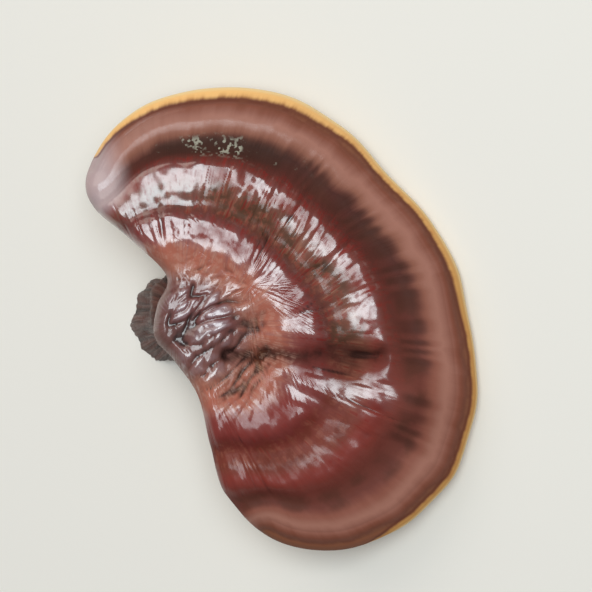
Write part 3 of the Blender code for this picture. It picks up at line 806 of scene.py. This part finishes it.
def skinGrainGroup():
    # the height of fine crazing and pits, for bump
    group, given, height = newGroup("skinGrain", {"Scale": 900.0, "Pits": 0.3}, "Height")
    place = objectPlace(group)
    grain = noiseTexture(group, place, Scale=given["Scale"], Detail=5.0)
    pits = addNode(group, "ShaderNodeTexVoronoi", feature="F1")
    feed(pits.inputs["Vector"], place)
    feed(pits.inputs["Scale"], given["Scale"])
    deep = times(rise(pits.outputs["Distance"], 0.0, 0.45, -1.0, 0.0), given["Pits"])
    feed(height, plus(grain, deep))
    return group


growthStreaks, mottling = growthStreaksGroup(), mottlingGroup()
sporeDust, skinGrain = sporeDustGroup(), skinGrainGroup()


def newMaterial(name):
    material = bpy.data.materials.new(name)
    material.use_nodes = True
    return material, material.node_tree


def placeStreaks(tree, settings):
    winding, length, roughness = settings
    return placeGroup(tree, growthStreaks, Lane=readAttribute(tree, "lane"), Winding=winding, Length=length,
                      Roughness=roughness)


def placeDust(tree, settings):
    hollow, amount, scale = settings
    return placeGroup(tree, sporeDust, Hollow=hollow, Amount=amount, Scale=scale)


def finishMaterial(material, values):
    # the shader takes its values, and stands beyond the last column
    nodes = material.node_tree.nodes
    shader, output = nodes["Principled BSDF"], nodes["Material Output"]
    edge = max(node.location.x for node in nodes) + 300
    shader.location, output.location = (edge, 0), (edge + 300, 0)
    for name, value in values.items():
        feed(shader.inputs[name], value)
    return material


def fineRelief(tree, streaks, look):
    # streaks and fine grain: the streaks' share, the grain's scale and pits, the depth and the strength
    share, scale, pits, depth, strength = look["bump"]
    grain = placeGroup(tree, skinGrain, Scale=scale, Pits=pits)
    height = scaled(streaks, share, grain)
    if "bumpFade" in look:
        height = times(height, rise(readAttribute(tree, "share"), *look["bumpFade"]))
    bump = addNode(tree, "ShaderNodeBump")
    feed(bump.inputs["Strength"], strength)
    feed(bump.inputs["Distance"], depth)
    feed(bump.inputs["Height"], height)
    return bump.outputs["Normal"]


# the varnished crust
crustLook = {
    # colours by the share of the way to the rim
    "zones": (
        (0.00, "#5f403c"), (0.17, "#84544a"), (0.215, "#a2624f"), (0.27, "#ac6350"), (0.315, "#a45c4b"),
        (0.35, "#8c463f"), (0.42, "#7e3b35"), (0.46, "#68342e"), (0.51, "#714236"), (0.57, "#7c4a3a"),
        (0.62, "#874136"), (0.67, "#6e342c"), (0.705, "#5c2c25"), (0.74, "#572a23"), (0.79, "#4d261f"),
        (0.812, "#693b30"), (0.838, "#8b5746"), (0.862, "#9c6757"), (0.885, "#a36d5d"), (0.91, "#935e4f"),
        (0.935, "#824a39"), (0.955, "#744130"), (0.97, "#845039"),
    ),
    # roughness and clear coat by the share of the way to the rim
    "gloss": ((0.0, 0.42), (0.22, 0.55), (0.30, 0.60), (0.34, 0.36), (0.44, 0.40), (0.50, 0.58),
              (0.56, 0.50), (0.60, 0.36), (0.68, 0.40), (0.74, 0.62), (0.83, 0.60), (0.87, 0.46),
              (0.95, 0.50), (1.0, 0.60)),
    "coat": ((0.0, 0.70), (0.17, 0.50), (0.22, 0.08), (0.30, 0.03), (0.33, 1.0), (0.44, 1.0), (0.475, 0.05),
             (0.55, 0.05), (0.575, 1.0), (0.665, 1.0), (0.682, 0.0), (0.85, 0.0), (0.88, 0.20), (0.93, 0.20),
             (0.97, 0.0)),
    # coarse, fine and broad streaks: winding, length, roughness
    "streaks": ((30.0, 3.0, 0.55), (90.0, 7.0, 0.6), (9.0, 4.0, 0.5)),
    "mottles": ((170.0, 3.0), (720.0, 3.0), (1150.0, 1.5)),  # wide ones, small ones and specks: scale, detail
    "ragged": (0.68, 0.76, 0.028, 0.008),  # how ragged their borders are within the outer ridge and beyond
    "winding": 0.016,  # how far they wind slowly
    # bands by the share of the way to the rim: where each starts, is full, fades and ends
    "valley": (0.44, 0.50, 0.56, 0.63),
    "redZone": (0.33, 0.38, 0.69, 0.75),
    "flankZone": (0.64, 0.70, 0.84, 0.88),
    "darkZone": (0.70, 0.75, 0.80, 0.84),
    "innerZone": (0.14, 0.24, 0.33, 0.38),
    "lobeRidge": (0.46, 0.51, 0.67, 0.70),
    "sheenZone": (0.31, 0.36, 0.67, 0.71),
    "outerZone": (0.57, 0.70),
    "knobZone": (0.15, 0.23, 1.0, 0.25),
    "creaseEnd": (0.70, 0.76),
    "shoulderEnd": (0.68, 0.73),
    # colours laid over the zones, and how strongly
    "olive": ("#4f3524", 0.8),
    "specks": ("#a9745c", 0.55),
    "blood": ("#7c211b", 0.8),
    "redder": 0.6,  # how red the large lobe is all over
    "flank": ("#86463a", 0.45),
    "patches": ("#4d2c20", 0.5),
    "fingers": ("#45241b", 0.8),
    # a pale painted sheen at the small lobe's end
    "roll": ("#bba3a3", 0.85),
    # the gnarled ground: where it starts, how raggedly, how much less of it the large lobe has, its colour
    # and the painted sheen on its knob tops
    "gnarled": (0.34, 0.62),
    "gnarledEdge": 0.30,
    "gnarledFade": -0.5,
    "umbo": "#72403c",
    "umboCrestSheen": "#9c8085",
    "knobs": (0.0, 0.7),
    "creaseGroundAndShade": ("#2e1913", 0.85),
    "creaseShadePatches": (0.0, 1.0, 0.55, 1.0),
    # painted shade in the hollows of the relief
    "cleft": ("#2a1410", 0.9),
    "hollowShadeCrest": (-0.70, 0.0),
    # spore dust: in which hollows, how much of it near the stem and elsewhere, and where it ends
    "dust": "#a45a3c",
    "dustPale": "#bd8656",
    "dustHollow": (-0.5, 0.5, 0.35, 0.0),
    "dustAmount": (0.40, 0.16),
    "dustScale": 150.0,
    "dustEnd": (0.34, 0.42, 0.8, 0.0),
    "rubbed": ("#bd8f7d", 0.50),
    "shade": ("#2f2018", 0.6),
    "paleGreySpecks": ("#a29c8b", 0.85),
    "paleGreySpeckLimits": (0.30, 0.95),
    # the rim, in widths of its ochre band
    "rimLine": ("#5f2f22", 0.6),
    "rimLineBand": (0.85, 1.15, 1.25, 1.7),
    "rimEdgeShift": 0.10,
    "ochre": "#c9904f",
    "ochrePale": "#f1ba76",
    "ochreEnd": (0.70, 1.20),
    "rimStain": ("#b06a38", 0.45),
    "rimStainRise": (0.35, 1.0),
    "rimEdge": "#f2d29a",
    "rimEdgeEnd": (0.0, 0.5),
    # gloss
    "streakRoughness": 0.08,
    "dryCrease": 1.6,
    "dryRoughness": 0.25,
    "knobCoat": (0.0, 0.45),
    "rollCoat": 0.4,
    "sheenCoat": 0.8,
    "fleckCoat": 0.35,
    "largeLobeCoat": (-0.7, 1.0),
    "creaseCoat": (0.10, 0.40),
    "rubbedCoat": (-0.35, 0.90),
    "brokenCoat": (0.45, 0.45),
    "dullCoat": (-0.9, 1.0),
    "bump": (0.7, 700.0, 0.25, 0.00005, 0.6),
    "bumpFade": (0.84, 0.88, 1.0, 0.25),
    "shader": {"Coat Roughness": 0.16, "Coat IOR": 1.9, "Specular IOR Level": 0.14},
}
crustMasks = ("share", "rimBand", "crest", "gnarl", "fingers", "merge", "shady", "lobe", "shoulder",
              "redLobe", "pale", "creaseGroundAndShade", "glossy", "flank", "middle")


def crustMaterial():
    look = crustLook
    material, tree = newMaterial("varnished crust")
    read = {name: readAttribute(tree, name) for name in crustMasks}
    share, crest = read["share"], read["crest"]
    coarse, fine, broad = (placeStreaks(tree, settings) for settings in look["streaks"])
    wide, small, specks = (
        placeGroup(tree, mottling, Scale=scale, Detail=detail) for scale, detail in look["mottles"])
    redZone, darkZone, innerZone = (band(share, *look[name]) for name in ("redZone", "darkZone", "innerZone"))

    # the zones' borders are ragged along the lines of growth
    jitter = compute("SUBTRACT", coarse, 0.5)
    ragged = times(jitter, rise(share, *look["ragged"]))
    place = plus(share, ragged, times(compute("SUBTRACT", broad, 0.5), look["winding"]))
    color = ramp(place, look["zones"])

    # olive patches and small pale specks lie between the ridges, blood-red ones along them, dark patches and
    # fingers before the smooth roll, and at the small lobe's end, where the roll and the outer ridge run
    # together, a pale painted sheen
    valley = times(band(share, *look["valley"]), inverse(read["glossy"]))
    redPatch = most(times(fine, small), times(read["redLobe"], look["redder"]))
    sheenEnd = times(rise(share, *look["outerZone"]), read["merge"])
    for name, mask in {
        "olive": times(wide, valley),
        "specks": times(small, coarse, valley),
        "blood": times(redPatch, redZone),
        "flank": times(read["flank"], band(share, *look["flankZone"])),
        "patches": times(darkZone, wide),
        "fingers": read["fingers"],
        "roll": sheenEnd,
    }.items():
        color = paint(color, mask, look[name])

    # the gnarled ground over the stem, its knob tops lighter with painted sheen and its clefts dark with
    # painted shade
    gnarled = rise(plus(read["gnarl"], times(jitter, look["gnarledEdge"])), *look["gnarled"])
    ground = times(gnarled, rise(share, *look["knobZone"]), scaled(read["redLobe"], look["gnarledFade"], 1.0))
    # painted sheen: the knob tops are lighter where the relief is raised
    color = mixColors(ground, color, mixColors(rise(crest, *look["knobs"]), look["umbo"], look["umboCrestSheen"]))
    # the crease's dark ground, darkened further with painted shade in the fold
    creaseShadeMask = times(read["creaseGroundAndShade"], rise(wide, *look["creaseShadePatches"]), fall(share, *look["creaseEnd"]))
    color = paint(color, creaseShadeMask, look["creaseGroundAndShade"])
    # painted shade: darker in the furrows, crevices and clefts, where the relief sinks
    color = paint(color, fall(crest, *look["hollowShadeCrest"]), look["cleft"])

    # spore dust in the hollows near the stem, and pale specks where it is rubbed off
    hollow, amount = rise(crest, *look["dustHollow"]), scaled(innerZone, *look["dustAmount"])
    dustMask = times(placeDust(tree, (hollow, amount, look["dustScale"])), rise(share, *look["dustEnd"]))
    color = mixColors(dustMask, color, mixColors(small, look["dust"], look["dustPale"]))
    color = paint(color, times(small, fine, innerZone), look["rubbed"])

    # the dark zone is darker before the small lobe, with pale greenish-grey specks
    shady = times(darkZone, read["shady"])
    color = paint(color, shady, look["shade"])
    color = paint(color, times(rise(times(specks, wide), *look["paleGreySpeckLimits"]), shady), look["paleGreySpecks"])

    # the ochre rim, with a dark line inside it and a pale lip
    rimPlace = plus(read["rimBand"], times(jitter, look["rimEdgeShift"]))
    color = paint(color, band(rimPlace, *look["rimLineBand"]), look["rimLine"])
    ochre = mixColors(read["pale"], look["ochre"], look["ochrePale"])
    ochre = paint(ochre, times(rise(rimPlace, *look["rimStainRise"]), coarse), look["rimStain"])
    ochre = mixColors(fall(read["rimBand"], *look["rimEdgeEnd"]), ochre, look["rimEdge"])
    color = mixColors(fall(rimPlace, *look["ochreEnd"]), color, ochre)

    # roughness: dust and the crease are dry
    dry = times(most(dustMask, times(read["creaseGroundAndShade"], look["dryCrease"])), look["dryRoughness"])
    rough = compute("ADD", scaled(fine, look["streakRoughness"], ramp(place, look["gloss"])), dry, clamp=True)

    # varnish on the ridges, the knobs, the small lobe and the swelling beside the crease
    swelling = times(read["shoulder"], fall(share, *look["shoulderEnd"]))
    coat = most(
        ramp(place, look["coat"]),
        times(gnarled, rise(crest, *look["knobCoat"])),
        times(sheenEnd, look["rollCoat"]),
        times(band(share, *look["lobeRidge"]), read["lobe"]),
        times(band(share, *look["sheenZone"]), read["glossy"], look["sheenCoat"]),
        times(coarse, read["middle"], valley, look["fleckCoat"]),
        swelling,
    )
    # it is duller on the large lobe and where it is dusty, rubbed or broken up
    calm = times(read["redLobe"], inverse(swelling), inverse(gnarled))
    rubbed = times(wide, redZone, scaled(read["middle"], *look["rubbedCoat"]), inverse(read["lobe"]))
    broken = times(scaled(read["middle"], *look["brokenCoat"]), small, fine)
    dull = scaled(most(dustMask, rubbed), *look["dullCoat"])
    coat = times(coat, scaled(calm, *look["largeLobeCoat"]), fall(read["creaseGroundAndShade"], *look["creaseCoat"]),
                 inverse(broken), dull)
    normal = fineRelief(tree, fine, look)
    return finishMaterial(material, {
        "Base Color": color, "Roughness": rough, "Coat Weight": coat, "Normal": normal} | look["shader"])


# the pore surface underneath
poreLook = {
    "pores": "#c39f70",
    "poreTint": "#d9bf92",
    "streaks": (16.0, 9.0, 0.6),
    "bruise": ("#7a5233", 0.55),
    "dust": (0.2, 0.45, 70.0),  # hollow, amount, scale
    "stemBruise": ("#7a5233", 0.65),
    "nearStem": (0.10, 0.34),
    "poreDark": ("#8a6440", 0.75),
    "poreScale": 1900.0,
    "hole": (0.15, 0.42),
    "margin": "#ead09a",
    "marginWidth": (1.4, 3.0),  # the pores start there, in millimetres from the rim
    "bump": (-1.2, 500.0, 0.1, 0.00012, 0.9),
    "roughness": 0.85,
}


def poreMaterial():
    look = poreLook
    material, tree = newMaterial("pore surface")
    color = mixColors(placeStreaks(tree, look["streaks"]), look["pores"], look["poreTint"])
    color = paint(color, placeDust(tree, look["dust"]), look["bruise"])
    color = paint(color, fall(readAttribute(tree, "share"), *look["nearStem"]), look["stemBruise"])
    pores = addNode(tree, "ShaderNodeTexVoronoi", feature="F1")
    feed(pores.inputs["Scale"], look["poreScale"])
    feed(pores.inputs["Vector"], objectPlace(tree))
    fertile = rise(readAttribute(tree, "toRim"), *look["marginWidth"])
    holes = times(fall(pores.outputs["Distance"], *look["hole"]), fertile)
    color = paint(color, holes, look["poreDark"])
    color = mixColors(fertile, look["margin"], color)
    normal = fineRelief(tree, holes, look)
    return finishMaterial(material, {"Base Color": color, "Roughness": look["roughness"], "Normal": normal})


def dress(piece, materials, attribute, test):
    # the second material goes on the faces whose points pass the test
    for material in materials:
        piece.data.materials.append(material)
    values = np.empty(len(piece.data.vertices), np.float32)
    piece.data.attributes[attribute].data.foreach_get("value", values)
    chosen = [test(values[list(face.vertices)]) for face in piece.data.polygons]
    piece.data.polygons.foreach_set("material_index", np.array(chosen, dtype=np.int32))
    print(piece.name, "painted:", sum(chosen), "faces of", materials[1].name)


dress(cap, (crustMaterial(), poreMaterial()), "below", lambda values: values.min() > capShape["poreEdge"])


# the stem's bark and cut
barkLook = {
    "streaks": (5.0, 1.2, 0.6),
    "fineStreaks": (18.0, 3.0, 0.6),
    "dark": "#2f1b15",  # the clefts between the streaks
    "red": "#5e2d22",
    # painted sheen on the raised bark
    "crest": ("#6a4d42", 0.7),
    "crestSheenRise": (0.1, 0.9),
    # painted shade where the bark sinks
    "cleft": ("#140908", 0.85),
    "cleftShadeFall": (-0.8, -0.2),
    "dust": ("#7a4a35", 0.6),
    "dustLain": (0.15, 0.4, 150.0),  # hollow, amount, scale
    "roughness": (0.2, 0.36),
    "dustRoughness": 0.2,
    "bump": (1.0, 800.0, 0.4, 0.00018, 0.8),
}
fleshLook = {
    "flesh": "#a9794c",
    "fleshPale": "#caa273",
    "rings": {"Scale": 2.2, "Distortion": 3.0, "Detail": 3.0},
    "fibres": (14.0, 6.0, 0.7),
    "fibreDark": ("#7d4f2e", 0.6),
    "rind": "#2f1b15",
    "rindWidth": (0.04, 0.10),
    "bump": (0.8, 1200.0, 0.6, 0.0002, 0.9),
    "roughness": 0.9,
}


def barkMaterial():
    look = barkLook
    material, tree = newMaterial("stem bark")
    crest, fine = readAttribute(tree, "crest"), placeStreaks(tree, look["fineStreaks"])
    color = mixColors(placeStreaks(tree, look["streaks"]), look["dark"], look["red"])
    # painted sheen on the raised bark
    color = paint(color, rise(crest, *look["crestSheenRise"]), look["crest"])
    # painted shade where the bark sinks
    color = paint(color, fall(crest, *look["cleftShadeFall"]), look["cleft"])
    dust = placeDust(tree, look["dustLain"])
    color = paint(color, dust, look["dust"])
    rough = plus(scaled(fine, *look["roughness"]), times(dust, look["dustRoughness"]))
    normal = fineRelief(tree, fine, look)
    return finishMaterial(material, {"Base Color": color, "Roughness": rough, "Normal": normal})


def fleshMaterial():
    look = fleshLook
    material, tree = newMaterial("cut flesh")
    inward, fibres = readAttribute(tree, "inward"), placeStreaks(tree, look["fibres"])
    across = addNode(tree, "ShaderNodeCombineXYZ")
    feed(across.inputs[0], inward)
    rings = addNode(tree, "ShaderNodeTexWave", wave_type="BANDS")
    feed(rings.inputs["Vector"], across.outputs[0])
    for name, value in look["rings"].items():
        feed(rings.inputs[name], value)
    color = mixColors(rings.outputs["Fac"], look["flesh"], look["fleshPale"])
    color = paint(color, fibres, look["fibreDark"])
    color = mixColors(fall(inward, *look["rindWidth"]), color, look["rind"])
    normal = fineRelief(tree, fibres, look)
    return finishMaterial(material, {"Base Color": color, "Roughness": look["roughness"], "Normal": normal})


dress(stem, (barkMaterial(), fleshMaterial()), "inward", lambda values: values.max() > 0)


# the studio
studio = {
    "floorSize": 8.0,
    "floorColor": "#ebe3da",
    "floorRoughness": 0.9,
    "worldColor": "#dfe3e8",
    "worldStrength": 0.24,
    # power, colour, size, distance, and the turns to the picture's right and up as shares of the distance
    "lights": {
        "keySoftbox": (7.2, (0.83, 0.93, 0.965), 0.58, 0.90, (-0.09, 0.13)),
        "fillSoftbox": (4.8, (1.0, 0.93, 0.84), 0.9, 1.3, (-1.0, 1.1)),
    },
    "lens": 120.0,
    "distance": 0.395,
    "pictureTurn": 20.0,  # degrees that the way out from the stem points up from the picture's right
    "aim": (25.0, -3.0),  # the middle of the picture, as (out, side)
}


def makeFloor():
    floorMesh = bpy.data.meshes.new("studioFloor")
    shape = bmesh.new()
    bmesh.ops.create_grid(shape, x_segments=2, y_segments=2, size=studio["floorSize"] / 2)
    shape.to_mesh(floorMesh)
    shape.free()
    floor = bpy.data.objects.new("studioFloor", floorMesh)
    bpy.context.scene.collection.objects.link(floor)
    material = newMaterial("studio floor")[0]
    finishMaterial(material, {"Base Color": studio["floorColor"], "Roughness": studio["floorRoughness"]})
    floorMesh.materials.append(material)


def pictureAxes():
    turn = math.radians(studio["pictureTurn"])
    right = Vector((-math.sin(turn), -math.cos(turn), 0))
    upward = Vector((math.cos(turn), -math.sin(turn), 0))
    rotation = stance.to_3x3()
    return rotation @ right, rotation @ upward, rotation @ Vector((0, 0, 1))


def lookFrom(thing, place, target, upward):
    back = (place - target).normalized()
    right = upward.cross(back).normalized()
    turned = Matrix((right, back.cross(right), back)).transposed().to_4x4()
    thing.matrix_world = Matrix.Translation(place) @ turned


def addLight(name, power, color, size, distance, turn, target):
    right, upward, square = pictureAxes()
    lamp = bpy.data.lights.new(name, "AREA")
    lamp.energy = power
    lamp.color = color
    lamp.size = size
    light = bpy.data.objects.new(name, lamp)
    bpy.context.scene.collection.objects.link(light)
    away = (square + right * turn[0] + upward * turn[1]).normalized()
    lookFrom(light, target + away * distance, target, upward)


def makeStudio():
    upward, square = pictureAxes()[1:]
    out, side = studio["aim"]
    target = stance @ (Vector((side, -out, 0)) * mm)
    camera = bpy.data.cameras.new("camera")
    camera.lens = studio["lens"]
    camera.clip_start = 0.01
    viewer = bpy.data.objects.new("camera", camera)
    bpy.context.scene.collection.objects.link(viewer)
    lookFrom(viewer, target + square * studio["distance"], target, upward)
    bpy.context.scene.camera = viewer
    for name, settings in studio["lights"].items():
        addLight(name, *settings, target)
    world = bpy.data.worlds.new("studio")
    bpy.context.scene.world = world
    world.use_nodes = True
    background = world.node_tree.nodes["Background"]
    feed(background.inputs["Color"], studio["worldColor"])
    feed(background.inputs["Strength"], studio["worldStrength"])
    bpy.context.scene.view_settings.view_transform = "Standard"


makeFloor()
makeStudio()
print("studio set")
